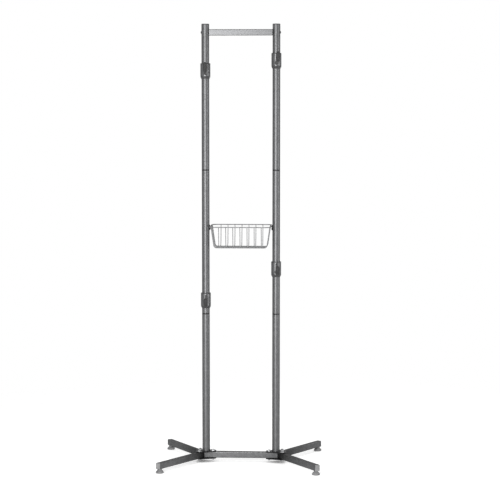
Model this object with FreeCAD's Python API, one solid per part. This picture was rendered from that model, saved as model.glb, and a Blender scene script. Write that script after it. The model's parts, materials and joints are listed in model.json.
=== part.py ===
import FreeCAD, Part
import math
import os

# Freestanding rack: two round posts on a splayed base, four clamp-on arms and a hung wire basket.
# Millimetres and degrees. +X is the rack's right, -Y its front, where the arms point, +Z up from the floor.

V = FreeCAD.Vector

# Posts
POST_SPACING = 350.0
POST_DIAMETER = 38.0
POST_WALL = 1.5
LOWER_LENGTH = 691.0
MIDDLE_LENGTH = 710.0
UPPER_LENGTH = 711.0
JOINT_RING = 5.0
JOINT_DEPTH = 60.0
JOINT_WALL = 2.0
SOCKET_CLEARANCE = 0.3
CAP_RIM = 4.0
CAP_ROUND = 1.5
CAP_PLUG = 16.0
CAP_WALL = 2.5

# Square crossbars
BAR_SIZE = 30.0
BAR_WALL = 1.5
BAR_CORNER = 3.0
TOP_BAR_DROP = 42.0
BAR_POST_GAP = 0.15
PLUG_LENGTH = 26.0
PLUG_CLEARANCE = 0.1
PLUG_INSET = 1.0

# Base legs
LEG_WIDTH = 25.0
LEG_WALL = 1.5
LEG_CORNER = 2.5
LEG_ANGLE = 56.0
LEG_MEET = 15.0
LEG_GAP = 9.0
LEG_REACH = 353.0
LEG_FLOOR_GAP = 21.0
LEG_CAP_FLANGE = 2.0
LEG_CAP_ROUND = 1.0
LEG_CAP_PLUG = 12.0
LEG_CAP_WALL = 2.0
LEG_CAP_CLEARANCE = 0.15

# Levelling feet
FOOT_INSET = 13.0
PAD_RADIUS = 19.5
PAD_EDGE = 2.5
PAD_HEIGHT = 8.0
NECK_RADIUS = 11.0
NECK_FLARE = 2.0
STEM_RADIUS = 4.0
STEM_RISE = 22.0
INSERT_RADIUS = 7.0
INSERT_HEIGHT = 14.0
FOOT_HOLE_CLEARANCE = 0.5
THREAD_CLEARANCE = 0.08

# Hub plates that clamp the legs and the base crossbar under each post
PLATE = 4.0
PLATE_BAR_REACH = 50.0
PLATE_LEG_REACH = 46.0
PLATE_MARGIN = 2.0
PLATE_CORNER = 6.0
BAR_END = 8.0
SPIGOT_HEIGHT = 90.0
SPIGOT_WALL = 2.0

# Fasteners
BOLT_RADIUS = 4.0
BOLT_HOLE_CLEARANCE = 0.2
HEAD_FLATS = 13.0
HEAD_HEIGHT = 5.3
NUT_HEIGHT = 6.8
BOLT_TAIL = 2.0
WASHER_RADIUS = 9.5
WASHER_HEIGHT = 1.6
LEG_BOLT = 30.0
BAR_BOLT = 34.0
BUTTON_RADIUS = 7.0
BUTTON_HEIGHT = 4.0
SCREW_RADIUS = 2.5
SCREW_HEAD_RADIUS = 4.5
SCREW_HEAD_HEIGHT = 3.0
BASE_SCREW_RISE = 12.0
SCREW_GRIP = 6.0

# Clamp-on arms: height of each bush's middle, and how far the arms turn from straight ahead
ARM_HEIGHTS = {"upper_left": 1950.0, "upper_right": 2000.0, "lower_left": 814.0, "lower_right": 972.0}
ARM_TURN = 4.0
BUSH_HEIGHT = 76.0
BUSH_WALL = 2.2
BUSH_FLANGE = 3.0
BUSH_SKIRT = 12.0
BUSH_SKIRT_LIP = 1.2
BUSH_SLIT = 2.0
SLIDE_CLEARANCE = 0.3
TURN_CLEARANCE = 0.3
COLLAR_WALL = 2.8
ROD_RADIUS = 7.0
ROD_OFFSET = -13.0
ROD_RISE = 3.0
ROD_RUN = 212.0
ROD_BEND = 28.0
ROD_TIP_ANGLE = 72.0
ROD_TIP = 4.0
GRIP_WALL = 3.0
GRIP_START = 84.0
GRIP_CLEARANCE = 0.1
GUSSET = 5.0
GUSSET_REACH = 74.0
GUSSET_TOE = 12.0
GUSSET_DROP = 4.0
BOSS_RADIUS = 9.0
BOSS_LENGTH = 12.0
KNOB_RADIUS = 21.0
KNOB_LENGTH = 18.0
KNOB_LOBE_PITCH = 26.0
KNOB_SCALLOP = 8.0
KNOB_BITE = 5.0
KNOB_EDGE = 2.0
KNOB_HUB_RADIUS = 8.0
KNOB_STANDOFF = 5.0
KNOB_STEM_RADIUS = 4.0
KNOB_GAP = 0.3

# Wire basket between the posts
RIM_POST_GAP = 6.0
RIM_DEPTH = 194.0
RIM_HEIGHT = 1186.0
RIM_RADIUS = 2.5
RIM_CORNER = 22.0
BASKET_DEPTH = 105.0
WALL_LEAN = 20.0
WIRE_RADIUS = 1.8
WIRE_BEND = 14.0
WIRE_TOUCH = 0.05
CROSS_PITCH = 35.0
LONG_PITCH = 36.0

# Hooks that carry the basket's rim
HOOK_WIDTH = 16.0
HOOK_SHEET = 2.5
HOOK_LIP = 8.0
HOOK_RISE = 8.0
HOOK_TAIL = 15.0
HOOK_SCREW_DROP = 8.5
HOOK_SIDE_GAP = 0.5
HOOK_SEAT_GAP = 0.3
HOOK_POST_GAP = 0.1

# Worked out from the sizes above
HALF = POST_SPACING / 2
POST_R = POST_DIAMETER / 2
POST_BORE = POST_R - POST_WALL
SOCKET_R = POST_BORE - SOCKET_CLEARANCE
LEG_LOW = LEG_FLOOR_GAP
LEG_HIGH = LEG_LOW + BAR_SIZE
POST_FOOT = LEG_HIGH + PLATE
LOWER_TOP = POST_FOOT + LOWER_LENGTH
MIDDLE_FOOT = LOWER_TOP + JOINT_RING
MIDDLE_TOP = MIDDLE_FOOT + MIDDLE_LENGTH
UPPER_FOOT = MIDDLE_TOP + JOINT_RING
UPPER_TOP = UPPER_FOOT + UPPER_LENGTH
TOP_BAR_Z = UPPER_TOP + CAP_RIM - TOP_BAR_DROP
BOLT_HOLE = BOLT_RADIUS + BOLT_HOLE_CLEARANCE
SCREW_HOLE = SCREW_RADIUS + BOLT_HOLE_CLEARANCE
BASE_SCREW_Z = POST_FOOT + BASE_SCREW_RISE
FOOT_ALONG = LEG_REACH - FOOT_INSET
HOOK_TOP = RIM_HEIGHT - RIM_RADIUS - HOOK_SEAT_GAP
HOOK_SCREW_Z = HOOK_TOP - HOOK_SHEET - HOOK_SCREW_DROP
BUSH_BORE = POST_R + SLIDE_CLEARANCE
BUSH_R = BUSH_BORE + BUSH_WALL
COLLAR_BORE = BUSH_R + TURN_CLEARANCE
COLLAR_R = COLLAR_BORE + COLLAR_WALL
COLLAR_LOW = BUSH_SKIRT - BUSH_HEIGHT / 2 + TURN_CLEARANCE
COLLAR_HIGH = BUSH_HEIGHT / 2 - BUSH_FLANGE - TURN_CLEARANCE
COLLAR_HEIGHT = COLLAR_HIGH - COLLAR_LOW
KNOB_LOBES = int(2 * math.pi * KNOB_RADIUS // KNOB_LOBE_PITCH)
RIM_LENGTH = POST_SPACING - POST_DIAMETER - 2 * RIM_POST_GAP
FLOOR_LENGTH = RIM_LENGTH - 2 * WALL_LEAN
FLOOR_DEPTH = RIM_DEPTH - 2 * WALL_LEAN
CROSS_WIRES = int(FLOOR_LENGTH // CROSS_PITCH)
LONG_WIRES = int(FLOOR_DEPTH // LONG_PITCH)
LEVEL_TOLERANCE = 0.001
SIDES = {"left": -1, "right": 1}
DEPTHS = {"front": -1, "rear": 1}


def cylinder(radius, length, start, axis):
    return Part.makeCylinder(radius, length, start, axis)


def ring(outer, inner, height, foot):
    up = V(0, 0, 1)
    return cylinder(outer, height, foot, up).cut(cylinder(inner, height, foot, up))


def revolve(points):
    face = Part.Face(Part.makePolygon(points + [points[0]]))
    return face.revolve(V(0, 0, 0), V(0, 0, 1), 360)


def rounded_face(width, height, corner):
    # A rectangle in the YZ plane, centred on X, with round corners
    y = width / 2
    z = height / 2
    flat = corner * (1 - math.cos(math.radians(45)))
    edges = []
    for sy, sz in ((1, 1), (-1, 1), (-1, -1), (1, -1)):
        a = V(0, sy * y, sz * (z - corner))
        b = V(0, sy * (y - corner), sz * z)
        middle = V(0, sy * (y - flat), sz * (z - flat))
        if sy * sz < 0:
            a, b = b, a
        if edges:
            edges.append(Part.LineSegment(end, a).toShape())
        else:
            first = a
        edges.append(Part.Arc(a, middle, b).toShape())
        end = b
    edges.append(Part.LineSegment(end, first).toShape())
    return Part.Face(Part.Wire(edges))


def box_bar(width, height, corner, length):
    return rounded_face(width, height, corner).extrude(V(length, 0, 0))


def box_tube(width, height, wall, corner, length):
    inner = box_bar(width - 2 * wall, height - 2 * wall, max(corner - wall, 0.2), length)
    return box_bar(width, height, corner, length).cut(inner)


def hexagon(flats, height, foot):
    radius = flats / math.sqrt(3)
    turns = [math.radians(60 * i) for i in range(7)]
    corners = [foot + V(radius * math.cos(t), radius * math.sin(t), 0) for t in turns]
    return Part.Face(Part.makePolygon(corners)).extrude(V(0, 0, height))


def sweep(edges, radius):
    path = Part.Wire(edges)
    first = path.OrderedEdges[0]
    start = path.OrderedVertexes[0].Point
    heading = first.tangentAt(first.FirstParameter)
    if (first.valueAt(first.FirstParameter) - start).Length > 0.001:
        heading = first.tangentAt(first.LastParameter) * -1
    section = Part.Wire(Part.makeCircle(radius, start, heading))
    return path.makePipeShell([section], True, False)


def rounded_route(points, bends):
    # Straight runs through the points, with a tangent arc of the given radius at each inner point
    edges = []
    start = points[0]
    for before, corner, after, radius in zip(points, points[1:], points[2:], bends):
        back = (before - corner).normalize()
        ahead = (after - corner).normalize()
        half = math.acos(max(-1.0, min(1.0, back.dot(ahead)))) / 2
        trim = radius / math.tan(half)
        centre = corner + (back + ahead).normalize() * (radius / math.sin(half))
        a = corner + back * trim
        b = corner + ahead * trim
        middle = centre + (corner - centre).normalize() * radius
        edges.append(Part.LineSegment(start, a).toShape())
        edges.append(Part.Arc(a, middle, b).toShape())
        start = b
    edges.append(Part.LineSegment(start, points[-1]).toShape())
    return edges


def flat_edges(shape, height):
    # The edges that lie level at a height
    boxes = [(edge, edge.BoundBox) for edge in shape.Edges]
    return [edge for edge, box in boxes
            if max(abs(box.ZMin - height), abs(box.ZMax - height)) < LEVEL_TOLERANCE]


def group(shapes):
    return Part.makeCompound(shapes)


def leg_place(side, depth):
    turn = LEG_ANGLE if side == depth else -LEG_ANGLE
    if side < 0:
        turn += 180
    spot = V(side * (HALF + LEG_MEET), 0, 0)
    return FreeCAD.Placement(spot, FreeCAD.Rotation(V(0, 0, 1), turn))


def moved(shape, placement):
    copy = shape.copy()
    copy.Placement = placement.multiply(copy.Placement)
    return copy


def leg_corners():
    return [(side, depth) for side in SIDES.values() for depth in DEPTHS.values()]


def hub_bolt_spots(side):
    spots = [V(side * (HALF - BAR_BOLT), 0, 0)]
    for depth in DEPTHS.values():
        spots.append(leg_place(side, depth).multVec(V(LEG_BOLT, 0, 0)))
    return spots


# Posts and their joints

def post_section(side, foot, length):
    return ring(POST_R, POST_BORE, length, V(side * HALF, 0, foot))


def post_lower(side):
    tube = post_section(side, POST_FOOT, LOWER_LENGTH)
    screw = cylinder(SCREW_HOLE, POST_DIAMETER, V(side * HALF, 0, BASE_SCREW_Z), V(0, 1, 0))
    return tube.cut(screw)


def post_middle(side):
    tube = post_section(side, MIDDLE_FOOT, MIDDLE_LENGTH)
    screw = cylinder(SCREW_HOLE, POST_DIAMETER, V(side * HALF, 0, HOOK_SCREW_Z), V(-side, 0, 0))
    return tube.cut(screw)


def post_upper(side):
    tube = post_section(side, UPPER_FOOT, UPPER_LENGTH)
    start = V(side * (HALF + POST_DIAMETER), 0, TOP_BAR_Z)
    return tube.cut(cylinder(BOLT_HOLE, 2 * POST_DIAMETER, start, V(-side, 0, 0)))


def joint_sleeve(side, foot):
    bore = SOCKET_R - JOINT_WALL
    low = -JOINT_DEPTH
    high = JOINT_RING + JOINT_DEPTH
    profile = [V(bore, 0, low), V(SOCKET_R, 0, low), V(SOCKET_R, 0, 0), V(POST_R, 0, 0)]
    profile += [V(POST_R, 0, JOINT_RING), V(SOCKET_R, 0, JOINT_RING), V(SOCKET_R, 0, high), V(bore, 0, high)]
    sleeve = revolve(profile)
    sleeve.translate(V(side * HALF, 0, foot))
    return sleeve


def post_cap(side):
    bore = SOCKET_R - CAP_WALL
    roof = CAP_RIM - CAP_WALL
    profile = [V(0, 0, CAP_RIM), V(0, 0, roof), V(bore, 0, roof), V(bore, 0, -CAP_PLUG)]
    profile += [V(SOCKET_R, 0, -CAP_PLUG), V(SOCKET_R, 0, 0), V(POST_R, 0, 0), V(POST_R, 0, CAP_RIM)]
    cap = revolve(profile)
    cap = cap.makeFillet(CAP_ROUND, flat_edges(cap, CAP_RIM))
    cap.translate(V(side * HALF, 0, UPPER_TOP))
    return cap


# Crossbars

def top_crossbar():
    length = POST_SPACING - POST_DIAMETER - 2 * BAR_POST_GAP
    bar = box_tube(BAR_SIZE, BAR_SIZE, BAR_WALL, BAR_CORNER, length)
    bar.translate(V(-length / 2, 0, TOP_BAR_Z))
    return bar


def crossbar_plug(side):
    size = BAR_SIZE - 2 * BAR_WALL - 2 * PLUG_CLEARANCE
    plug = box_bar(size, size, BAR_CORNER - BAR_WALL, PLUG_LENGTH)
    plug = plug.cut(cylinder(BOLT_RADIUS + THREAD_CLEARANCE, PLUG_LENGTH, V(0, 0, 0), V(1, 0, 0)))
    inner = HALF - POST_R - PLUG_INSET
    plug.translate(V(inner - PLUG_LENGTH if side > 0 else -inner, 0, TOP_BAR_Z))
    return plug


def button_bolt(radius, length, head_radius, head_height):
    # Domed head above Z = 0, shank below
    ball = (head_radius ** 2 + head_height ** 2) / (2 * head_height)
    dome = Part.makeSphere(ball, V(0, 0, head_height - ball))
    head = dome.common(cylinder(2 * ball, head_height, V(0, 0, 0), V(0, 0, 1)))
    return head.fuse(cylinder(radius, length, V(0, 0, -length), V(0, 0, 1))).removeSplitter()


def aimed(shape, spot, outwards):
    # Turn a shape made along +Z to point along another axis, and set it on its spot
    return moved(shape, FreeCAD.Placement(spot, FreeCAD.Rotation(V(0, 0, 1), outwards)))


def crossbar_bolt(side):
    length = POST_DIAMETER + PLUG_INSET + PLUG_LENGTH
    bolt = button_bolt(BOLT_RADIUS, length, BUTTON_RADIUS, BUTTON_HEIGHT)
    return aimed(bolt, V(side * (HALF + POST_R), 0, TOP_BAR_Z), V(side, 0, 0))


def base_crossbar():
    length = POST_SPACING + 2 * BAR_END
    bar = box_tube(BAR_SIZE, BAR_SIZE, BAR_WALL, BAR_CORNER, length)
    bar.translate(V(-length / 2, 0, LEG_LOW + BAR_SIZE / 2))
    for side in SIDES.values():
        bar = bar.cut(cylinder(BOLT_HOLE, LEG_HIGH, hub_bolt_spots(side)[0], V(0, 0, 1)))
    return bar


# Base hubs, legs and feet

def hub_outline(side):
    bar_half = BAR_SIZE / 2 + PLATE_MARGIN
    inner = side * (HALF - PLATE_BAR_REACH)
    points = [V(inner, bar_half, 0)]
    for depth in (1, -1):
        place = leg_place(side, depth)
        outer = [V(PLATE_LEG_REACH, turn * LEG_WIDTH / 2, 0) for turn in (1, -1)]
        pair = sorted([place.multVec(p) for p in outer], key=lambda p: -abs(p.y))
        points += pair if depth > 0 else pair[::-1]
    points.append(V(inner, -bar_half, 0))
    return points


def hub_plate(side, foot):
    points = hub_outline(side)
    plate = Part.Face(Part.makePolygon(points + [points[0]])).extrude(V(0, 0, PLATE))
    uprights = [e for e in plate.Edges if abs(e.Vertexes[0].Z - e.Vertexes[1].Z) > PLATE / 2]
    plate = plate.makeFillet(PLATE_CORNER, uprights)
    for spot in hub_bolt_spots(side):
        plate = plate.cut(cylinder(BOLT_HOLE, PLATE, spot, V(0, 0, 1)))
    plate.translate(V(0, 0, foot))
    return plate


def hub_top_plate(side):
    spigot = ring(SOCKET_R, SOCKET_R - SPIGOT_WALL, SPIGOT_HEIGHT, V(side * HALF, 0, POST_FOOT))
    thread = SCREW_RADIUS + THREAD_CLEARANCE
    spigot = spigot.cut(cylinder(thread, POST_DIAMETER, V(side * HALF, 0, BASE_SCREW_Z), V(0, 1, 0)))
    return hub_plate(side, LEG_HIGH).fuse(spigot).removeSplitter()


def hub_bottom_plate(side):
    return hub_plate(side, LEG_LOW - PLATE)


def leg(side, depth):
    start = LEG_WIDTH / 2 / math.tan(math.radians(LEG_ANGLE)) + LEG_GAP
    tube = box_tube(LEG_WIDTH, BAR_SIZE, LEG_WALL, LEG_CORNER, LEG_REACH - start)
    tube.translate(V(start, 0, LEG_LOW + BAR_SIZE / 2))
    tube = tube.cut(cylinder(BOLT_HOLE, LEG_HIGH, V(LEG_BOLT, 0, 0), V(0, 0, 1)))
    stem_hole = STEM_RADIUS + FOOT_HOLE_CLEARANCE
    tube = tube.cut(cylinder(stem_hole, 2 * LEG_WALL, V(FOOT_ALONG, 0, LEG_LOW - LEG_WALL / 2), V(0, 0, 1)))
    return moved(tube, leg_place(side, depth))


def leg_end_cap(side, depth):
    flange = box_bar(LEG_WIDTH, BAR_SIZE, LEG_CORNER, LEG_CAP_FLANGE)
    rim = [e for e in flange.Edges if e.BoundBox.XMin > LEG_CAP_FLANGE / 2]
    flange = flange.makeFillet(LEG_CAP_ROUND, rim)
    shrink = 2 * (LEG_WALL + LEG_CAP_CLEARANCE)
    plug = box_tube(LEG_WIDTH - shrink, BAR_SIZE - shrink, LEG_CAP_WALL, LEG_CORNER - LEG_WALL, LEG_CAP_PLUG)
    insert = V(LEG_CAP_PLUG - FOOT_INSET, 0, -BAR_SIZE / 2)
    plug = plug.cut(cylinder(INSERT_RADIUS + LEG_CAP_CLEARANCE, BAR_SIZE, insert, V(0, 0, 1)))
    plug.translate(V(-LEG_CAP_PLUG, 0, 0))
    cap = flange.fuse(plug).removeSplitter()
    cap.translate(V(LEG_REACH, 0, LEG_LOW + BAR_SIZE / 2))
    return moved(cap, leg_place(side, depth))


def leg_thread_insert(side, depth):
    seat = V(FOOT_ALONG, 0, LEG_LOW + LEG_WALL)
    insert = ring(INSERT_RADIUS, STEM_RADIUS + THREAD_CLEARANCE, INSERT_HEIGHT, seat)
    return moved(insert, leg_place(side, depth))


def levelling_foot(side, depth):
    edge = PAD_EDGE * (1 - math.cos(math.radians(45)))
    sole = Part.Arc(V(PAD_RADIUS - PAD_EDGE, 0, 0), V(PAD_RADIUS - edge, 0, edge), V(PAD_RADIUS, 0, PAD_EDGE))
    shoulder = NECK_RADIUS + NECK_FLARE
    crest = LEG_LOW + STEM_RISE
    corners = [V(PAD_RADIUS, 0, PAD_EDGE), V(PAD_RADIUS, 0, PAD_HEIGHT - PAD_EDGE)]
    corners += [V(shoulder, 0, PAD_HEIGHT), V(NECK_RADIUS, 0, PAD_HEIGHT + NECK_FLARE)]
    corners += [V(NECK_RADIUS, 0, LEG_LOW), V(STEM_RADIUS, 0, LEG_LOW), V(STEM_RADIUS, 0, crest)]
    corners += [V(0, 0, crest), V(0, 0, 0), V(PAD_RADIUS - PAD_EDGE, 0, 0)]
    edges = [sole.toShape()] + Part.makePolygon(corners).Edges
    foot = Part.Face(Part.Wire(Part.__sortEdges__(edges))).revolve(V(0, 0, 0), V(0, 0, 1), 360)
    foot.translate(V(FOOT_ALONG, 0, 0))
    return moved(foot, leg_place(side, depth))


# Fasteners of the base

def hub_bolt(spot):
    seat = POST_FOOT + WASHER_HEIGHT
    tail = LEG_LOW - PLATE - NUT_HEIGHT - BOLT_TAIL
    shank = cylinder(BOLT_RADIUS, seat - tail, spot + V(0, 0, tail), V(0, 0, 1))
    return hexagon(HEAD_FLATS, HEAD_HEIGHT, spot + V(0, 0, seat)).fuse(shank).removeSplitter()


def hub_washer(spot):
    return ring(WASHER_RADIUS, BOLT_HOLE, WASHER_HEIGHT, spot + V(0, 0, POST_FOOT))


def hub_nut(spot):
    foot = spot + V(0, 0, LEG_LOW - PLATE - NUT_HEIGHT)
    bore = cylinder(BOLT_RADIUS + THREAD_CLEARANCE, NUT_HEIGHT, foot, V(0, 0, 1))
    return hexagon(HEAD_FLATS, NUT_HEIGHT, foot).cut(bore)


def base_screw(side):
    grip = POST_WALL + SOCKET_CLEARANCE + SPIGOT_WALL + SCREW_GRIP
    screw = button_bolt(SCREW_RADIUS, grip, SCREW_HEAD_RADIUS, SCREW_HEAD_HEIGHT)
    return aimed(screw, V(side * HALF, POST_R, BASE_SCREW_Z), V(0, 1, 0))


# Clamp-on arms, made pointing straight ahead around the Z axis and then set on their posts

def arm_place(name):
    side = SIDES[name.split("_")[1]]
    return FreeCAD.Placement(V(side * HALF, 0, ARM_HEIGHTS[name]), FreeCAD.Rotation(V(0, 0, 1), ARM_TURN))


def slide_bush():
    # Sleeve with a flange over the collar and a skirt under it that tapers down to the post
    half = BUSH_HEIGHT / 2
    body = half - BUSH_FLANGE
    seat = BUSH_SKIRT - half
    lip = BUSH_BORE + BUSH_SKIRT_LIP
    profile = [V(BUSH_BORE, 0, -half), V(lip, 0, -half), V(COLLAR_R, 0, seat - BUSH_FLANGE)]
    profile += [V(COLLAR_R, 0, seat), V(BUSH_R, 0, seat), V(BUSH_R, 0, body)]
    profile += [V(COLLAR_R, 0, body), V(COLLAR_R, 0, half), V(BUSH_BORE, 0, half)]
    slit = Part.makeBox(COLLAR_R, BUSH_SLIT, BUSH_HEIGHT, V(0, -BUSH_SLIT / 2, -half))
    return revolve(profile).cut(slit)


def rod_points():
    rise = math.radians(ROD_RISE)
    tip = math.radians(ROD_TIP_ANGLE)
    root = V(0, 0, ROD_OFFSET)
    knee_reach = ROD_RUN + ROD_BEND
    knee = root + V(0, -knee_reach * math.cos(rise), knee_reach * math.sin(rise))
    lift = ROD_TIP + ROD_BEND
    end = knee + V(0, -lift * math.cos(tip), lift * math.sin(tip))
    return root, knee, end


def arm_rod():
    rod = sweep(rounded_route(rod_points(), [ROD_BEND]), ROD_RADIUS)
    return rod.cut(cylinder(COLLAR_R, 2 * BUSH_HEIGHT, V(0, 0, -BUSH_HEIGHT), V(0, 0, 1)))


def arm_grip():
    root, knee, end = rod_points()
    heading = (knee - root).normalize()
    start = root + heading * GRIP_START
    skin = sweep(rounded_route((start, knee, end), [ROD_BEND]), ROD_RADIUS + GRIP_WALL)
    skin = skin.fuse(Part.makeSphere(ROD_RADIUS + GRIP_WALL, end)).removeSplitter()
    bore = sweep(rounded_route((start - heading, knee, end), [ROD_BEND]), ROD_RADIUS + GRIP_CLEARANCE)
    return skin.cut(bore)


def arm_collar():
    # Sleeve round the bush, with a web that hangs the rod from its upper end and a threaded boss behind
    foot = V(0, 0, COLLAR_LOW)
    body = cylinder(COLLAR_R, COLLAR_HEIGHT, foot, V(0, 0, 1))
    boss = cylinder(BOSS_RADIUS, COLLAR_R + BOSS_LENGTH, V(0, 0, 0), V(0, 1, 0))
    toe = ROD_OFFSET + GUSSET_REACH * math.tan(math.radians(ROD_RISE))
    high = COLLAR_HIGH - GUSSET_DROP
    web = [V(0, 0, ROD_OFFSET), V(0, -GUSSET_REACH, toe), V(0, -GUSSET_REACH, toe + GUSSET_TOE)]
    web += [V(0, -COLLAR_R, high), V(0, 0, high), V(0, 0, ROD_OFFSET)]
    gusset = Part.Face(Part.makePolygon(web)).extrude(V(GUSSET, 0, 0))
    gusset.translate(V(-GUSSET / 2, 0, 0))
    collar = body.fuse([boss, gusset]).removeSplitter()
    collar = collar.cut(cylinder(COLLAR_BORE, COLLAR_HEIGHT, foot, V(0, 0, 1)))
    collar = collar.cut(cylinder(KNOB_STEM_RADIUS + THREAD_CLEARANCE, 2 * COLLAR_R, V(0, 0, 0), V(0, 1, 0)))
    return collar.cut(arm_rod())


def lock_knob():
    top = KNOB_STANDOFF + KNOB_LENGTH
    disc = cylinder(KNOB_RADIUS, KNOB_LENGTH, V(0, 0, KNOB_STANDOFF), V(0, 0, 1))
    for lobe in range(KNOB_LOBES):
        turn = math.radians(360 * lobe / KNOB_LOBES)
        reach = KNOB_RADIUS + KNOB_SCALLOP - KNOB_BITE
        spot = V(reach * math.cos(turn), reach * math.sin(turn), KNOB_STANDOFF)
        disc = disc.cut(cylinder(KNOB_SCALLOP, KNOB_LENGTH, spot, V(0, 0, 1)))
    disc = disc.makeFillet(KNOB_EDGE, flat_edges(disc, KNOB_STANDOFF) + flat_edges(disc, top))
    hub = cylinder(KNOB_HUB_RADIUS, top - KNOB_EDGE, V(0, 0, 0), V(0, 0, 1))
    seat = COLLAR_R + BOSS_LENGTH + KNOB_GAP
    stem_length = seat - BUSH_R - KNOB_GAP
    stem = cylinder(KNOB_STEM_RADIUS, stem_length, V(0, 0, -stem_length), V(0, 0, 1))
    knob = disc.fuse([hub, stem]).removeSplitter()
    return aimed(knob, V(0, seat, 0), V(0, 1, 0))


# Wire basket and its hooks

def basket_rim():
    x = RIM_LENGTH / 2
    y = RIM_DEPTH / 2
    corners = [V(0, -y, RIM_HEIGHT), V(x, -y, RIM_HEIGHT), V(x, y, RIM_HEIGHT), V(-x, y, RIM_HEIGHT)]
    corners += [V(-x, -y, RIM_HEIGHT), V(0, -y, RIM_HEIGHT)]
    return sweep(rounded_route(corners, [RIM_CORNER] * 4), RIM_RADIUS)


def basket_cross_wire(x):
    top = RIM_DEPTH / 2 - RIM_RADIUS - WIRE_RADIUS - WIRE_TOUCH
    low = RIM_HEIGHT - BASKET_DEPTH + 2 * WIRE_RADIUS + WIRE_TOUCH
    foot = FLOOR_DEPTH / 2
    points = [V(x, -top, RIM_HEIGHT), V(x, -foot, low), V(x, foot, low), V(x, top, RIM_HEIGHT)]
    return sweep(rounded_route(points, [WIRE_BEND] * 2), WIRE_RADIUS)


def basket_long_wire(y):
    top = RIM_LENGTH / 2 - RIM_RADIUS - WIRE_RADIUS - WIRE_TOUCH
    low = RIM_HEIGHT - BASKET_DEPTH
    foot = FLOOR_LENGTH / 2
    points = [V(-top, y, RIM_HEIGHT), V(-foot, y, low), V(foot, y, low), V(top, y, RIM_HEIGHT)]
    return sweep(rounded_route(points, [WIRE_BEND] * 2), WIRE_RADIUS)


def spread(count, pitch):
    return [(i - (count - 1) / 2) * pitch for i in range(count)]


def basket_hook(side):
    # Strip screwed to the post, with a shelf under the rim wire and a lip in front of it
    back = HALF - POST_R - HOOK_POST_GAP
    face = back - HOOK_SHEET
    lip = RIM_LENGTH / 2 - RIM_RADIUS - HOOK_SIDE_GAP
    front = lip - HOOK_SHEET
    under = HOOK_TOP - HOOK_SHEET
    outline = [(back, HOOK_TOP + HOOK_RISE), (face, HOOK_TOP + HOOK_RISE), (face, HOOK_TOP), (lip, HOOK_TOP)]
    outline += [(lip, HOOK_TOP + HOOK_LIP), (front, HOOK_TOP + HOOK_LIP)]
    outline += [(front, under), (face, under), (face, under - HOOK_TAIL), (back, under - HOOK_TAIL)]
    points = [V(side * x, -HOOK_WIDTH / 2, z) for x, z in outline + outline[:1]]
    hook = Part.Face(Part.makePolygon(points)).extrude(V(0, HOOK_WIDTH, 0))
    return hook.cut(cylinder(SCREW_HOLE, HALF, V(side * HALF, 0, HOOK_SCREW_Z), V(-side, 0, 0)))


def basket_hook_screw(side):
    face = HALF - POST_R - HOOK_POST_GAP - HOOK_SHEET
    length = HOOK_SHEET + POST_WALL + SCREW_GRIP
    screw = button_bolt(SCREW_RADIUS, length, SCREW_HEAD_RADIUS, SCREW_HEAD_HEIGHT)
    return aimed(screw, V(side * face, 0, HOOK_SCREW_Z), V(-side, 0, 0))


def all_parts():
    parts = {}
    for word, side in SIDES.items():
        parts[word + "_post_lower"] = post_lower(side)
        parts[word + "_post_middle"] = post_middle(side)
        parts[word + "_post_upper"] = post_upper(side)
        parts[word + "_post_joint_sleeves"] = group([joint_sleeve(side, z) for z in (LOWER_TOP, MIDDLE_TOP)])
        parts[word + "_post_cap"] = post_cap(side)
        parts[word + "_hub_top_plate"] = hub_top_plate(side)
        parts[word + "_hub_bottom_plate"] = hub_bottom_plate(side)
        for end, depth in DEPTHS.items():
            parts[end + "_" + word + "_leg"] = leg(side, depth)
            parts[end + "_" + word + "_levelling_foot"] = levelling_foot(side, depth)
    parts["top_crossbar"] = top_crossbar()
    parts["top_crossbar_plugs"] = group([crossbar_plug(side) for side in SIDES.values()])
    parts["top_crossbar_bolts"] = group([crossbar_bolt(side) for side in SIDES.values()])
    parts["base_crossbar"] = base_crossbar()
    parts["leg_end_caps"] = group([leg_end_cap(*corner) for corner in leg_corners()])
    parts["leg_thread_inserts"] = group([leg_thread_insert(*corner) for corner in leg_corners()])
    spots = [spot for side in SIDES.values() for spot in hub_bolt_spots(side)]
    parts["hub_bolts"] = group([hub_bolt(spot) for spot in spots])
    parts["hub_washers"] = group([hub_washer(spot) for spot in spots])
    parts["hub_nuts"] = group([hub_nut(spot) for spot in spots])
    parts["post_base_screws"] = group([base_screw(side) for side in SIDES.values()])
    for name in ARM_HEIGHTS:
        place = arm_place(name)
        parts[name + "_slide_bush"] = moved(slide_bush(), place)
        parts[name + "_arm_collar"] = moved(arm_collar(), place)
        parts[name + "_arm_rod"] = moved(arm_rod(), place)
        parts[name + "_arm_grip"] = moved(arm_grip(), place)
        parts[name + "_lock_knob"] = moved(lock_knob(), place)
    parts["basket_rim"] = basket_rim()
    parts["basket_cross_wires"] = group([basket_cross_wire(x) for x in spread(CROSS_WIRES, CROSS_PITCH)])
    parts["basket_long_wires"] = group([basket_long_wire(y) for y in spread(LONG_WIRES, LONG_PITCH)])
    parts["basket_hooks"] = group([basket_hook(side) for side in SIDES.values()])
    parts["basket_hook_screws"] = group([basket_hook_screw(side) for side in SIDES.values()])
    return parts


os.makedirs("parts", exist_ok=True)
for node, shape in all_parts().items():
    shape.exportStep("parts/" + node + ".step")
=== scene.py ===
import json
import math

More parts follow.
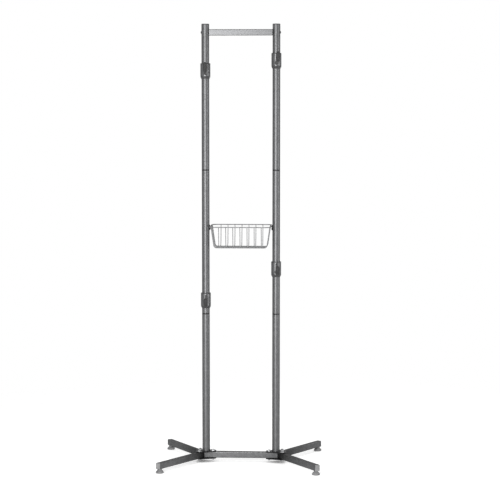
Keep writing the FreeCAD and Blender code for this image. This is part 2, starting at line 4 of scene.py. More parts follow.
import bpy
import numpy as np
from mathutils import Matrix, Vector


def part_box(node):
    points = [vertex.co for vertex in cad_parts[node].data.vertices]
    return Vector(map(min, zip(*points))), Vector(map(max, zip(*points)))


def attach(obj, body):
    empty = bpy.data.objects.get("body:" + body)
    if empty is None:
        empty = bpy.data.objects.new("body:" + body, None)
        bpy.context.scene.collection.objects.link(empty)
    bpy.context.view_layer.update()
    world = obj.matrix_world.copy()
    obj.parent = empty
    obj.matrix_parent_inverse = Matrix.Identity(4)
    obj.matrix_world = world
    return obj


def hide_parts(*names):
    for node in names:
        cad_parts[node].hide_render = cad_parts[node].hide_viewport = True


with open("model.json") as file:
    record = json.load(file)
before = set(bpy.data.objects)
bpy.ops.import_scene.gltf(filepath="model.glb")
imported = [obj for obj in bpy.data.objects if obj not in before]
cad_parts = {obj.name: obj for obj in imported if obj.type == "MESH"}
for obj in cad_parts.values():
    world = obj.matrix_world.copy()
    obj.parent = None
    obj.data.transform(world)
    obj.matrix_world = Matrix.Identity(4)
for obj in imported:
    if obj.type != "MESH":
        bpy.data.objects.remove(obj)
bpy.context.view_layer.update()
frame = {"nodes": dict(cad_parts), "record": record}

# Freestanding rack in metres: seen from the front, +X is to the right, +Y away and +Z up from the floor
bodyOf = {node: body for body, nodes in frame["record"]["behaviour"]["bodies"].items() for node in nodes}
upright = np.array((0.0, 0.0, 1.0))
rimSteps = 4  # stretches in the round of a small rim
sharpAngle = 40.0  # degrees between two faces from which their edge is drawn sharp


# Surfaces: every shape is an array of rings, and the rings are skinned

def unit(vectors):
    # each vector over its own length
    return vectors / np.linalg.norm(vectors, axis=-1, keepdims=True)


def fullTurn(count):
    # equal angles once round, from 0
    return np.linspace(0, 2 * np.pi, count, endpoint=False)


def corners(node):
    # lowest and highest corner of a node of the frame
    return tuple(np.array(point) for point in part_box(node))


def middle(node):
    # half way between a node's two corners
    low, high = corners(node)
    return (low + high) / 2


def roundCorners(points, radius, steps=5, closed=True):
    # straight runs joined by tangent arcs: an arc turns the radius that meets one run into the radius that
    # meets the next, in equal angles, and its edge value is a half sine, so that wear keeps to the round
    points = np.asarray(points, float)
    bends = points if closed else points[1:-1]
    back = unit((np.roll(points, 1, 0) if closed else points[:-2]) - bends)
    ahead = unit((np.roll(points, -1, 0) if closed else points[2:]) - bends)
    radius = np.broadcast_to(np.asarray(radius, float), len(bends))[:, None]
    half = np.arccos(np.clip((back * ahead).sum(1, keepdims=True), -1, 1)) / 2
    centre = bends + unit(back + ahead) * radius / np.sin(half)
    first = bends + back * radius / np.tan(half) - centre
    last = bends + ahead * radius / np.tan(half) - centre
    turn = (np.pi - 2 * half)[:, None]
    t = np.linspace(0, 1, steps + 1)[None, :, None]
    arcs = np.sin((1 - t) * turn) * first[:, None] + np.sin(t * turn) * last[:, None]
    arcs = centre[:, None] + arcs / np.sin(turn)
    edge = np.repeat(np.sin(np.pi * t[..., 0]), len(bends), 0)
    arcs, edge = arcs.reshape(-1, points.shape[1]), edge.reshape(-1)
    if closed:
        return arcs, edge
    return np.vstack([points[:1], arcs, points[-1:]]), np.concatenate([[0], edge, [0]])


def ringSkin(rings, edge=0.0, loop=False):
    # quads between neighbouring rings; a flat face closes each end, unless the last ring meets the first
    count, around = rings.shape[:2]
    index = np.arange(count * around).reshape(count, around)
    low = index if loop else index[:-1]
    high = np.roll(index, -1, 0) if loop else index[1:]
    quads = np.stack([low, np.roll(low, -1, 1), np.roll(high, -1, 1), high], -1).reshape(-1, 4)
    ends = np.stack([index[0][::-1], index[-1]])[:0 if loop else 2]
    points = rings.reshape(-1, 3)

    def volume(faces):
        # six times the signed volume between the faces and the origin
        return (points[faces[:, :1]] * np.cross(points[faces[:, 1:-1]], points[faces[:, 2:]])).sum()

    if volume(quads) + volume(ends) < 0:
        quads, ends = quads[:, ::-1], ends[:, ::-1]
    edge = np.broadcast_to(edge, (count, around)).reshape(-1)
    return {"points": points, "quads": quads, "ends": ends, "edge": edge}


def stackRings(radii, heights, edge=0.0, loop=False):
    # one ring per row, with a radius and a height at each angle: x = r cos a, y = r sin a, z = height
    angle = fullTurn(radii.shape[1])
    rings = np.stack([radii * np.cos(angle), radii * np.sin(angle), heights + 0 * radii], -1)
    return ringSkin(rings, edge, loop)


def revolve(profile, edge, around=64, loop=True):
    # every profile point (radius, height) carried round the upright axis
    radii = np.repeat(profile[:, :1], around, 1)
    return stackRings(radii, profile[:, 1:], edge[:, None], loop)


def roundTube(bore, radius, low, high, rim, around=64):
    # a thin rectangle (radius, height) with rounded corners, carried round the upright axis
    wall = [(bore, low), (radius, low), (radius, high), (bore, high)]
    return revolve(*roundCorners(wall, rim, rimSteps), around)


def sweepSection(path, section, across, edge=0.0, loop=False, scale=1.0):
    # a flat section (side, over) carried along a path: point + side * across + over * (tangent x across)
    step = unit(np.diff(np.vstack([path, path[:1]]) if loop else path, axis=0))
    ahead = step if loop else np.vstack([step, step[-1:]])
    behind = np.roll(step, 1, 0) if loop else np.vstack([step[:1], step])
    tangent = unit(ahead + behind)
    across = np.broadcast_to(across, path.shape)
    across = unit(across - (across * tangent).sum(1, keepdims=True) * tangent)
    over = np.cross(tangent, across)
    reach = section[None, :, :1] * across[:, None] + section[None, :, 1:] * over[:, None]
    return ringSkin(path[:, None] + np.reshape(scale, (-1, 1, 1)) * reach, edge, loop)


def circle(radius, around):
    # a round section: radius times (cos a, sin a)
    angle = fullTurn(around)
    return radius * np.stack([np.cos(angle), np.sin(angle)], 1)


def wire(path, radius, across, around=16, loop=False):
    # a circle carried along a path; an open end closes in a half ball: radius cos f, reach sin f
    scale = np.ones(len(path))
    if not loop:
        fall = np.radians((80.0, 60.0, 40.0, 20.0))
        head = path[0] + radius * np.sin(fall)[:, None] * unit(path[0] - path[1])
        tail = path[-1] + radius * np.sin(fall[::-1])[:, None] * unit(path[-1] - path[-2])
        path = np.vstack([head, path, tail])
        scale = np.concatenate([np.cos(fall), scale, np.cos(fall[::-1])])
    return sweepSection(path, circle(radius, around), across, 0.0, loop, scale)


def liftOutline(outline, profile, edge):
    # a flat outline drawn in by each profile point's inset, along its normal, and lifted to its height
    chord = unit(np.roll(outline, -1, 0) - np.roll(outline, 1, 0))
    after = np.roll(outline, -1, 0)
    area = (outline[:, 0] * after[:, 1] - after[:, 0] * outline[:, 1]).sum()
    normal = np.sign(area) * np.stack([chord[:, 1], -chord[:, 0]], 1)
    flat = outline - profile[:, 0, None, None] * normal
    lift = np.broadcast_to(profile[:, 1, None, None], flat[..., :1].shape)
    return ringSkin(np.concatenate([flat, lift], -1), edge[:, None])


def bevelled(low, high, bevel):
    # (inset, height) up the side of a plate, with a quarter round at both rims
    return roundCorners([(2 * bevel, low), (0, low), (0, high), (2 * bevel, high)], bevel, rimSteps, False)


def rectangle(width, height):
    # four corners about the middle
    return np.array([(1, 1), (-1, 1), (-1, -1), (1, -1)]) * (width / 2, height / 2)


def boxTube(start, end, outer, inner, edge):
    # four stations round the wall: the outer section at both ends, then the inner one on the way back
    across = np.stack([np.cross(upright, unit(end - start)), upright])
    rings = [start + outer @ across, end + outer @ across, end + inner @ across, start + inner @ across]
    return ringSkin(np.stack(rings), edge[None], True)


def placed(shell, origin=(0, 0, 0), turn=0.0, axis=(0, 0, 1)):
    # the shell's own z laid along axis, then the whole turned about upright and moved to its origin
    over = np.array(axis, float)
    level = np.cross(upright, over)
    side = unit(level) if level.any() else np.array((1.0, 0, 0))
    basis = np.stack([side, np.cross(over, side), over])
    c, s = math.cos(math.radians(turn)), math.sin(math.radians(turn))
    spin = np.array([(c, s, 0), (-s, c, 0), (0, 0, 1)])
    return {**shell, "points": shell["points"] @ basis @ spin + np.array(origin)}


def linked(name, data):
    # a new object in the scene that shows the data
    thing = bpy.data.objects.new(name, data)
    bpy.context.scene.collection.objects.link(thing)
    return thing


def addPiece(name, node, shells, coat):
    # all shells in one mesh, with the edge value on its points; it stands for its node and rides with it
    firsts = np.cumsum([0] + [len(shell["points"]) for shell in shells])
    faces = []
    for shell, first in zip(shells, firsts):
        faces += (shell["quads"] + first).tolist() + (shell["ends"] + first).tolist()
    mesh = bpy.data.meshes.new(name)
    mesh.from_pydata(np.vstack([shell["points"] for shell in shells]).tolist(), [], faces)
    wear = np.concatenate([shell["edge"] for shell in shells]).astype(np.float32)
    mesh.attributes.new("edge", "FLOAT", "POINT").data.foreach_set("value", wear)
    mesh.shade_smooth()
    mesh.set_sharp_from_angle(angle=math.radians(sharpAngle))
    mesh.materials.append(coat["material"])
    piece = linked(name, mesh)
    piece.modifiers.new("flatFaces", "WEIGHTED_NORMAL").keep_sharp = True
    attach(piece, bodyOf[node])
    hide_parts(node)


# Finishes: shared effects are node groups, and each material holds its own shader

def put(tree, kind, inputs=None, **settings):
    # a shader node of that kind with its settings; an input is given as a link or as a plain value
    node = tree.nodes.new("ShaderNode" + kind)
    for key, value in settings.items():
        setattr(node, key, value)
    for key, value in (inputs or {}).items():
        if isinstance(value, bpy.types.NodeSocket):
            tree.links.new(value, node.inputs[key])
        else:
            node.inputs[key].default_value = value
    return node


def maths(tree, operation, *values):
    # one step of arithmetic, clamped to 0..1
    node = put(tree, "Math", dict(enumerate(values)), operation=operation, use_clamp=True)
    return node.outputs[0]


def spanned(tree, value, low, high, bottom=0.0, top=1.0):
    # value eased from low..high to bottom..top
    spans = {"From Min": low, "From Max": high, "To Min": bottom, "To Max": top, "Value": value}
    return put(tree, "MapRange", spans, interpolation_type="SMOOTHSTEP").outputs["Result"]


def tinted(tree, factor, first, second):
    # first colour at factor 0, second at 1
    return put(tree, "Mix", {0: factor, 6: first, 7: second}, data_type="RGBA").outputs[2]


def noise(tree, vector, scale, detail):
    # a cloudy value about 0.5, with scale clouds to the metre and finer ones inside them
    settings = {"Vector": vector, "Scale": scale, "Detail": detail}
    return put(tree, "TexNoise", settings).outputs["Fac"]


def patches(tree, vector, scale, low, high, bottom=0.0, detail=5.0):
    # noise eased from low..high to bottom..1, which leaves islands
    return spanned(tree, noise(tree, vector, scale, detail), low, high, bottom)


def startGroup(name, **inputs):
    # a group that reads Vector and the named inputs: a tuple makes a vector socket, a number a plain one
    group = bpy.data.node_groups.new(name, "ShaderNodeTree")
    for label, value in {"Vector": (0.0, 0.0, 0.0), **inputs}.items():
        kind = "NodeSocketVector" if isinstance(value, tuple) else "NodeSocketFloat"
        group.interface.new_socket(name=label, in_out="INPUT", socket_type=kind).default_value = value
    return group, group.nodes.new("NodeGroupInput").outputs


def closeGroup(group, **results):
    # an output socket for each result, linked to it
    output = group.nodes.new("NodeGroupOutput")
    for label, value in results.items():
        group.interface.new_socket(name=label, in_out="OUTPUT", socket_type="NodeSocketFloat")
        group.links.new(value, output.inputs[label])
    return group


def hammerMottleGroup():
    # hammered coat: smooth cell distance at noise-bent points gives the dimples, a broad noise the clouds
    look = dict(swirl=110.0, swirlDetail=2.0, soften=0.5, dimple=(0.1, 0.75), dimpleShare=0.6)
    group, given = startGroup("hammerMottle", Cells=200.0, Bend=0.004, Clouds=40.0)
    vector = given["Vector"]
    curl = {"Vector": vector, "Scale": look["swirl"], "Detail": look["swirlDetail"]}
    swirl = put(group, "TexNoise", curl).outputs["Color"]
    shift = put(group, "VectorMath", {0: swirl, "Scale": given["Bend"]}, operation="SCALE")
    bent = put(group, "VectorMath", {0: vector, 1: shift.outputs[0]}, operation="ADD").outputs[0]
    spacing = {"Vector": bent, "Scale": given["Cells"], "Smoothness": look["soften"]}
    cells = put(group, "TexVoronoi", spacing, feature="SMOOTH_F1")
    dimple = spanned(group, cells.outputs["Distance"], *look["dimple"])
    clouds = patches(group, vector, given["Clouds"], low=0.3, high=0.7, detail=4.0)
    ridge = maths(group, "MULTIPLY", dimple, look["dimpleShare"])
    shade = maths(group, "MULTIPLY_ADD", clouds, 1 - look["dimpleShare"], ridge)
    return closeGroup(group, Shade=shade, Height=dimple)


def edgeScuffAndShadeGroup():
    # rubbed edges: the round's edge value where a patchy noise is high; the basket's weld spots carry edge
    # value 1 and take a near-black painted shade there
    group, given = startGroup("edgeScuffAndShade", Amount=1.0)
    edge = put(group, "Attribute", attribute_name="edge").outputs["Fac"]
    patch = patches(group, given["Vector"], scale=70.0, low=0.46, high=0.66)
    rubbed = maths(group, "MULTIPLY", edge, patch)
    return closeGroup(group, Mask=maths(group, "MULTIPLY", rubbed, given["Amount"]))


def floorDustGroup():
    # dust: falls off with height above the floor, broken up by noise
    group, given = startGroup("floorDust", Reach=0.08)
    height = put(group, "SeparateXYZ", {0: given["Vector"]}).outputs["Z"]
    low = spanned(group, height, 0.0, given["Reach"], 1.0, 0.0)
    patch = patches(group, given["Vector"], scale=55.0, low=0.35, high=0.75)
    return closeGroup(group, Mask=maths(group, "MULTIPLY", low, patch))


def hubPaintedShadeGroup():
    # painted shade: 1 at the hub of either side, easing to 0 at the reach, broken up a little by noise
    group, given = startGroup("hubPaintedShade", Hub=(0.0, 0.0, 0.0), Reach=0.1, Amount=0.5)
    folded = put(group, "VectorMath", {0: given["Vector"]}, operation="ABSOLUTE").outputs[0]
    away = put(group, "VectorMath", {0: folded, 1: given["Hub"]}, operation="DISTANCE")
    share = maths(group, "DIVIDE", away.outputs["Value"], given["Reach"])
    near = spanned(group, share, -1.0, 1.0, 2.0, 0.0)
    patch = patches(group, given["Vector"], scale=120.0, low=0.3, high=0.6, bottom=0.7)
    soiled = maths(group, "MULTIPLY", near, patch)
    return closeGroup(group, Mask=maths(group, "MULTIPLY", soiled, given["Amount"]))


def mouldGrainGroup():
    # moulded skin: fine grain for the height, slow clouds for the shade
    group, given = startGroup("mouldGrain", Grain=1400.0)
    shade = patches(group, given["Vector"], scale=60.0, low=0.3, high=0.7, detail=4.0)
    return closeGroup(group, Shade=shade, Height=noise(group, given["Vector"], given["Grain"], detail=2.0))


def platedGrainGroup():
    # plating: fine lines round the height of the part, over a broad tarnish
    lines = (120.0, 120.0, 3000.0)  # to the metre along each axis
    group, given = startGroup("platedGrain")
    stretched = put(group, "Mapping", {"Vector": given["Vector"], "Scale": lines}).outputs[0]
    shade = patches(group, given["Vector"], scale=180.0, low=0.3, high=0.7)
    return closeGroup(group, Shade=shade, Height=noise(group, stretched, scale=1.0, detail=2.0))


hammerMottle = hammerMottleGroup()
edgeScuffAndShade = edgeScuffAndShadeGroup()
floorDust = floorDustGroup()
hubPaintedShade = hubPaintedShadeGroup()
mouldGrain = mouldGrainGroup()
platedGrain = platedGrainGroup()
# dust colour, the near black of the painted shade towards the hubs, and the dust's roughness
dustAndShadeLook = dict(dust=(0.40, 0.395, 0.38), paintedShade=0.008, matt=0.5)


def grey(level, blue=0.0):
    # a colour with equal parts, and a little more blue where that is given
    return (level, level, level + blue)


def coating(name, look):
    # shade runs between two colours and two gloss levels; scuffs (on the basket's weld spots a painted
    # shade), dust and a painted shade towards the hubs lie over it, and bump follows height; the finish is
    # its look with the material added
    material = bpy.data.materials.new(name)
    material.use_nodes = True
    tree = material.node_tree
    surface = tree.nodes["Principled BSDF"].inputs
    vector = put(tree, "TexCoord").outputs["Object"]

    def effect(group, **settings):
        # a shared group, fed with the piece's own coordinates
        return put(tree, "Group", {"Vector": vector, **settings}, node_tree=group).outputs

    grain = effect(look["pattern"], **look["grain"])
    scuffAndShade = effect(edgeScuffAndShade, Amount=look["scuffAndShade"])["Mask"]
    dust = maths(tree, "MULTIPLY", effect(floorDust)["Mask"], look["dust"])
    colour = tinted(tree, grain["Shade"], (*look["dark"], 1), (*look["light"], 1))
    colour = tinted(tree, scuffAndShade, colour, (*look["bareAndShade"], 1))
    colour = tinted(tree, dust, colour, (*dustAndShadeLook["dust"], 1))
    # painted shade: darker towards the hub on either side, where the hub shades legs and bar
    if "paintedShade" in look:
        paintedShade = effect(hubPaintedShade, **look["paintedShade"])["Mask"]
        colour = tinted(tree, paintedShade, colour, (*grey(dustAndShadeLook["paintedShade"]), 1))
    gloss = spanned(tree, grain["Shade"], 0.0, 1.0, *look["rough"])
    relief = {"Strength": look["bump"], "Distance": look["depth"], "Height": grain["Height"]}
    bump = put(tree, "Bump", relief)
    tree.links.new(colour, surface["Base Color"])
    tree.links.new(maths(tree, "MULTIPLY_ADD", dust, dustAndShadeLook["matt"], gloss), surface["Roughness"])
    tree.links.new(bump.outputs[0], surface["Normal"])
    surface["Metallic"].default_value = look["metal"]
    surface["Specular IOR Level"].default_value = look["shine"]
    surface["Specular Tint"].default_value = (*grey(look["glance"]), 1)
    return {**look, "material": material}


powderCoat = coating("powderCoat", dict(
    slot="powder_coat", pattern=hammerMottle, grain=dict(Cells=190.0, Bend=0.005, Clouds=45.0),
    dark=(0.092, 0.093, 0.095), light=(0.127, 0.128, 0.131), bareAndShade=grey(0.45, -0.01), scuffAndShade=0.2, dust=0.05,
    rough=(0.33, 0.37), bump=0.025, depth=0.0005, metal=0.8, shine=0.5, glance=0.3))
postCoat = coating("postCoat", dict(powderCoat, rough=(0.39, 0.43)))
wornCoatLook = dict(powderCoat, dark=(0.084, 0.085, 0.087), light=(0.136, 0.137, 0.140), bump=0.05)
blackCoat = coating("blackCoat", dict(
    slot="black_steel", pattern=hammerMottle, grain=dict(Cells=700.0, Bend=0.001, Clouds=80.0),
    dark=grey(0.005, 0.001), light=grey(0.011, 0.001), bareAndShade=grey(0.16), scuffAndShade=0.25, dust=0.0,
    rough=(0.42, 0.52), bump=0.2, depth=0.0003, metal=0.0, shine=0.13, glance=1.0))
# the basket's near-black colour for worn places is painted shade on the weld spots, not bare metal
basketCoat = coating("basketCoat", dict(
    slot="basket_wire", pattern=hammerMottle, grain=dict(Cells=900.0, Bend=0.001, Clouds=120.0),
    dark=(0.12, 0.121, 0.124), light=(0.20, 0.202, 0.206), bareAndShade=grey(0.012), scuffAndShade=0.9, dust=0.0,
    rough=(0.34, 0.46), bump=0.15, depth=0.0002, metal=0.2, shine=0.5, glance=1.0))
capBlack = coating("capBlack", dict(
    slot="black_plastic", pattern=mouldGrain, grain=dict(Grain=1500.0), dark=grey(0.03, 0.002),
    light=grey(0.048, 0.002), bareAndShade=grey(0.12), scuffAndShade=0.5, dust=0.0, rough=(0.5, 0.62), bump=0.25,
    depth=0.0002, metal=0.0, shine=0.4, glance=1.0))
bushNylon = coating("bushNylon", dict(
    capBlack, slot="nylon", grain=dict(Grain=900.0), dark=grey(0.026, 0.002),
    light=grey(0.042, 0.002), rough=(0.42, 0.52)))
knobPlastic = coating("knobPlastic", dict(
    capBlack, slot="knob_plastic", grain=dict(Grain=1200.0), dark=grey(0.02, 0.002),
    light=grey(0.034, 0.002), bump=0.35))
gripRubber = coating("gripRubber", dict(
    capBlack, slot="grip_rubber", grain=dict(Grain=700.0), dark=grey(0.018, 0.001),
    light=grey(0.03, 0.001), rough=(0.68, 0.8), scuffAndShade=0.2))
footPlastic = coating("footPlastic", dict(
    capBlack, slot="foot_plastic", grain=dict(Grain=1100.0), dark=grey(0.125, 0.003),
    light=grey(0.19, 0.003), bareAndShade=grey(0.32), dust=0.12))
endCapPlastic = coating("endCapPlastic", dict(
    capBlack, slot="cap_plastic", grain=dict(Grain=1300.0), dark=grey(0.2, 0.003),
    light=grey(0.27, 0.003), bareAndShade=grey(0.38), dust=0.2))
brightZinc = coating("brightZinc", dict(
    slot="zinc", pattern=platedGrain, grain={}, dark=(0.28, 0.283, 0.292), light=(0.44, 0.445, 0.452),
    bareAndShade=grey(0.65), scuffAndShade=0.5, dust=0.1, rough=(0.26, 0.40), bump=0.15, depth=0.0001, metal=1.0, shine=0.5,
    glance=0.7))
# a much lighter copy of the bolts' zinc: a painted highlight on the washers' faces
washerZincPaintedHighlight = coating("washerZincPaintedHighlight", dict(
    brightZinc, dark=(0.78, 0.785, 0.795), light=(0.94, 0.945, 0.95)))
blackZinc = coating("blackZinc", dict(
    brightZinc, slot="black_zinc", dark=grey(0.035, 0.002), light=grey(0.08, 0.003), bareAndShade=grey(0.4),
    dust=0.0, metal=0.6))
print("finishes:", len(bpy.data.node_groups), "shared groups")


# Posts: three lengths of round tube each, the rings that show between them and the plug in the top

postLook = dict(wall=0.0015, rim=0.0004, around=96)
sleeveLook = dict(depth=0.060, wall=0.002, play=0.0003, rim=0.0003, ringRim=0.0007)
topPlugLook = dict(plug=0.016, wall=0.0025, dish=0.0008, dishRadius=0.0125, rim=0.0015, corner=0.0004)
sides = {"left": -1, "right": 1}
signs = (-1, 1)
postLow, postHigh = corners("right_post_lower")
postRadius = (postHigh[0] - postLow[0]) / 2
halfSpan = (postHigh[0] + postLow[0]) / 2
postBore = postRadius - postLook["wall"]
socketRadius = postBore - sleeveLook["play"]


def jointSleeve(foot, top):
    # a sleeve in both tubes with a collar of the posts' own radius between them, drawn as one closed line
    # (radius, height) and carried round
    look = sleeveLook
    bore, low, high = socketRadius - look["wall"], foot - look["depth"], top + look["depth"]
    wall = [(bore, low), (socketRadius, low), (socketRadius, foot), (postRadius, foot),
            (postRadius, top), (socketRadius, top), (socketRadius, high), (bore, high)]
    rims = [look["rim"]] * 3 + [look["ringRim"]] * 2 + [look["rim"]] * 3
    return revolve(*roundCorners(wall, rims, rimSteps), postLook["around"])


def topPlug(foot, top):
    # dished lid, round shoulder and hollow plug: one line from the lid's middle to its underside
    look = topPlugLook
    bore, axis = socketRadius - look["wall"], look["corner"]
    dish, roof, tail = top - look["dish"], top - look["wall"], foot - look["plug"]
    line = [(axis, dish), (look["dishRadius"], dish), (look["dishRadius"] + look["dish"], top),
            (postRadius, top), (postRadius, foot), (socketRadius, foot), (socketRadius, tail),
            (bore, tail), (bore, roof), (axis, roof)]
    rims = [look["corner"]] * 2 + [look["rim"]] + [look["corner"]] * 5
    return revolve(*roundCorners(line, rims, closed=False), postLook["around"], False)


for side, sign in sides.items():
    spot = (sign * halfSpan, 0, 0)
    seams = []
    for part in ("lower", "middle", "upper"):
        node = side + "_post_" + part
        low, high = corners(node)
        seams += [low[2], high[2]]
        tube = roundTube(postBore, postRadius, low[2], high[2], postLook["rim"], postLook["around"])
        addPiece(side + part.title() + "PostTube", node, [placed(tube, spot)], postCoat)
    rings = [placed(jointSleeve(seams[i], seams[i + 1]), spot) for i in (1, 3)]
    addPiece(side + "PostJointRings", side + "_post_joint_sleeves", rings, blackCoat)
    plug = topPlug(seams[-1], corners(side + "_post_cap")[1][2])
    addPiece(side + "PostTopPlug", side + "_post_cap", [placed(plug, spot)], capBlack)
print("posts: span", round(2 * halfSpan, 4), "radius", round(postRadius, 4))


# Crossbars: square tubes; the top one stops between the posts, the base one runs on under them

barLook = dict(corner=0.003, wall=0.0015)
legLook = dict(angle=56.0, meet=0.015, width=0.025, corner=0.0025, wall=0.0015, start=0.01743, end=0.353)
topLow, topHigh = corners("top_crossbar")
baseLow, baseHigh = corners("base_crossbar")
topMiddle, legMiddle = middle("top_crossbar")[2], middle("base_crossbar")[2]
barSize = topHigh[2] - topLow[2]
hubPoint = (halfSpan + legLook["meet"], 0, legMiddle)
# painted shade towards each hub, on the base bar and on the legs
baseBarPaintedShade = dict(Hub=hubPoint, Reach=0.09, Amount=0.45)
legPaintedShade = dict(Hub=hubPoint, Reach=0.33, Amount=0.9)
baseBarCoat = coating("baseBarCoat", dict(wornCoatLook, paintedShade=baseBarPaintedShade))
legCoat = coating("legCoat", dict(wornCoatLook, paintedShade=legPaintedShade))


def barSections(width, height, corner, wall):
    # outer and inner outline of a box tube, point for point
    outer, edge = roundCorners(rectangle(width, height), corner)
    inner = roundCorners(rectangle(width - 2 * wall, height - 2 * wall), corner - wall)[0]
    return outer, inner, edge


sections = barSections(barSize, barSize, barLook["corner"], barLook["wall"])
bars = [("topBarTube", "top_crossbar", topHigh[0], topMiddle, powderCoat),
        ("baseBarTube", "base_crossbar", baseHigh[0], legMiddle, baseBarCoat)]
for label, node, reach, level, coat in bars:
    ends = [np.array((sign * reach, 0, level)) for sign in signs]
    addPiece(label, node, [boxTube(*ends, *sections)], coat)
print("crossbars:", round(barSize, 4), "square")


# Base: splayed legs between clamp plates, plugged at their ends and standing on screw feet

plateLook = dict(
    thick=0.004, barReach=0.050, legReach=0.046, margin=0.002, corner=0.006, steps=8, bevel=0.0008,
    spigotWall=0.002, spigotRim=0.0005, play=0.0003)
endCapLook = dict(
    flange=0.002, rim=0.0009, border=0.0016, recess=0.0005, plug=0.012, wall=0.002, corner=0.0023,
    play=0.00015)
footLook = dict(
    pad=0.0195, padEdge=0.003, padTop=0.0075, padRound=0.006, shoulder=0.0135, neck=0.011, neckFoot=0.001,
    neckTop=0.0006, padHeight=0.0135, flare=0.002, stem=0.004, stemTip=0.0006, corner=0.0004, hollow=0.0008,
    hollowRadius=0.0125, grips=28, perGrip=6, bite=0.0005, gripDepth=0.0015, gripFade=0.001)
depths = {"front": -1, "rear": 1}
legAngle = math.radians(legLook["angle"])


def legLine(sign, depth):
    # where the two legs of a hub meet, and which way this one points
    start = np.array((sign * (halfSpan + legLook["meet"]), 0, 0))
    return start, np.array((sign * math.cos(legAngle), depth * math.sin(legAngle), 0))


def hubOutline(sign, inner, halfBar, reach, halfLeg, corner, steps=5):
    # in plan: from both edges of the crossbar out to the two corners of each leg at that reach
    points = [(sign * inner, halfBar)]
    for depth in (1, -1):
        start, along = legLine(sign, depth)
        across = np.cross(upright, along) * sign * halfLeg
        points += [(start + reach * along + turn * across)[:2] for turn in (1, -1)]
    points.append((sign * inner, -halfBar))
    return roundCorners(points, corner, steps)[0]


def clampPlate(sign, foot):
    # the hub's outline with a margin at the crossbar, lifted to the plate's thickness with round rims
    look = plateLook
    outline = hubOutline(sign, halfSpan - look["barReach"], barSize / 2 + look["margin"], look["legReach"],
                         legLook["width"] / 2, look["corner"], look["steps"])
    return liftOutline(outline, *bevelled(foot, foot + look["thick"], look["bevel"]))


def shadeFillBlock(sign, foot, top):
    # the hub's outline between the ends of crossbar and legs, lifted to fill that wedge between the plates;
    # in black it puts painted shade into the wedge
    play, bevel = plateLook["play"], plateLook["bevel"]
    outline = hubOutline(sign, baseHigh[0] + play, barSize / 2 - barLook["corner"], legLook["start"] - play,
                         legLook["width"] / 2 - play, bevel)
    return liftOutline(outline, *bevelled(foot + play, top - play, bevel))


def legEndCap(lidOutline):
    # lid with a round rim and a shallow moulded panel, above a hollow plug
    look = endCapLook
    line = [(0, 0), (0, look["flange"]), (look["border"], look["flange"]),
            (look["border"] + look["recess"], look["flange"] - look["recess"])]
    lid = liftOutline(lidOutline, *roundCorners(line, (look["rim"], look["recess"] / 4), rimSteps, False))
    shrink = 2 * (legLook["wall"] + look["play"])
    width, height = legLook["width"] - shrink, barSize - shrink
    outer, inner, edge = barSections(width, height, look["corner"], look["wall"])
    stations = [(outer, -look["plug"]), (outer, 0), (inner, 0), (inner, -look["plug"])]
    rings = [np.concatenate([flat, np.full((len(flat), 1), height)], 1) for flat, height in stations]
    return [lid, ringSkin(np.stack(rings), edge[None], True)]


def screwFoot(top, crest):
    # sole, pad with finger grips, flared neck and stem; on the pad the line's radius loses
    # bite (1 - cos(grips a)) / 2
    look = footLook
    axis, hollow, sole = look["hollow"] / 2, look["hollow"], look["hollowRadius"]
    pad, neck, stem, padHeight = look["pad"], look["neck"], look["stem"], look["padHeight"]
    line = [(axis, hollow), (sole, hollow), (sole + hollow, 0), (pad, 0), (pad, look["padTop"]),
            (look["shoulder"], padHeight), (neck, padHeight + look["flare"]), (neck, top), (stem, top),
            (stem, crest), (axis, crest)]
    rims = "corner corner padEdge padRound padEdge neckFoot neckTop corner stemTip".split()
    profile, edge = roundCorners(line, [look[rim] for rim in rims], closed=False)
    angle = fullTurn(look["perGrip"] * look["grips"])
    onPad = np.clip((profile[:, :1] - pad + look["gripDepth"]) / look["gripFade"], 0, 1)
    radii = profile[:, :1] - onPad * look["bite"] * (1 - np.cos(look["grips"] * angle)) / 2
    return stackRings(radii, profile[:, 1:], edge[:, None])


legSections = barSections(legLook["width"], barSize, legLook["corner"], legLook["wall"])
endCaps = []
for side, sign in sides.items():
    topNode, bottomNode = side + "_hub_top_plate", side + "_hub_bottom_plate"
    spigotFoot, spigotTop = baseHigh[2] + plateLook["thick"] / 2, corners(topNode)[1][2]
    spigot = roundTube(socketRadius - plateLook["spigotWall"], socketRadius, spigotFoot, spigotTop,
                       plateLook["spigotRim"])
    clamp = [clampPlate(sign, baseHigh[2]), placed(spigot, (sign * halfSpan, 0, 0)),
             shadeFillBlock(sign, baseLow[2], baseHigh[2])]
    addPiece(side + "HubTopClamp", topNode, clamp, blackCoat)
    addPiece(side + "HubBottomClamp", bottomNode, [clampPlate(sign, corners(bottomNode)[0][2])], blackCoat)
    for end, depth in depths.items():
        start, along = legLine(sign, depth)
        span = [start + along * legLook[key] + legMiddle * upright for key in ("start", "end")]
        corner, place = end + side.title(), end + "_" + side
        addPiece(corner + "LegTube", place + "_leg", [boxTube(*span, *legSections)], legCoat)
        endCaps += [placed(shell, span[1], 0, along) for shell in legEndCap(legSections[0])]
        node = place + "_levelling_foot"
        pad = placed(screwFoot(baseLow[2], corners(node)[1][2]), (*middle(node)[:2], 0))
        addPiece(corner + "ScrewFoot", node, [pad], footPlastic)
addPiece("legEndLids", "leg_end_caps", endCaps, endCapPlastic)
print("base: legs at", legLook["angle"], "degrees,", len(endCaps) // 2, "end lids")


# Fasteners: hex bolts with washers and nuts through the hubs, socket button screws elsewhere

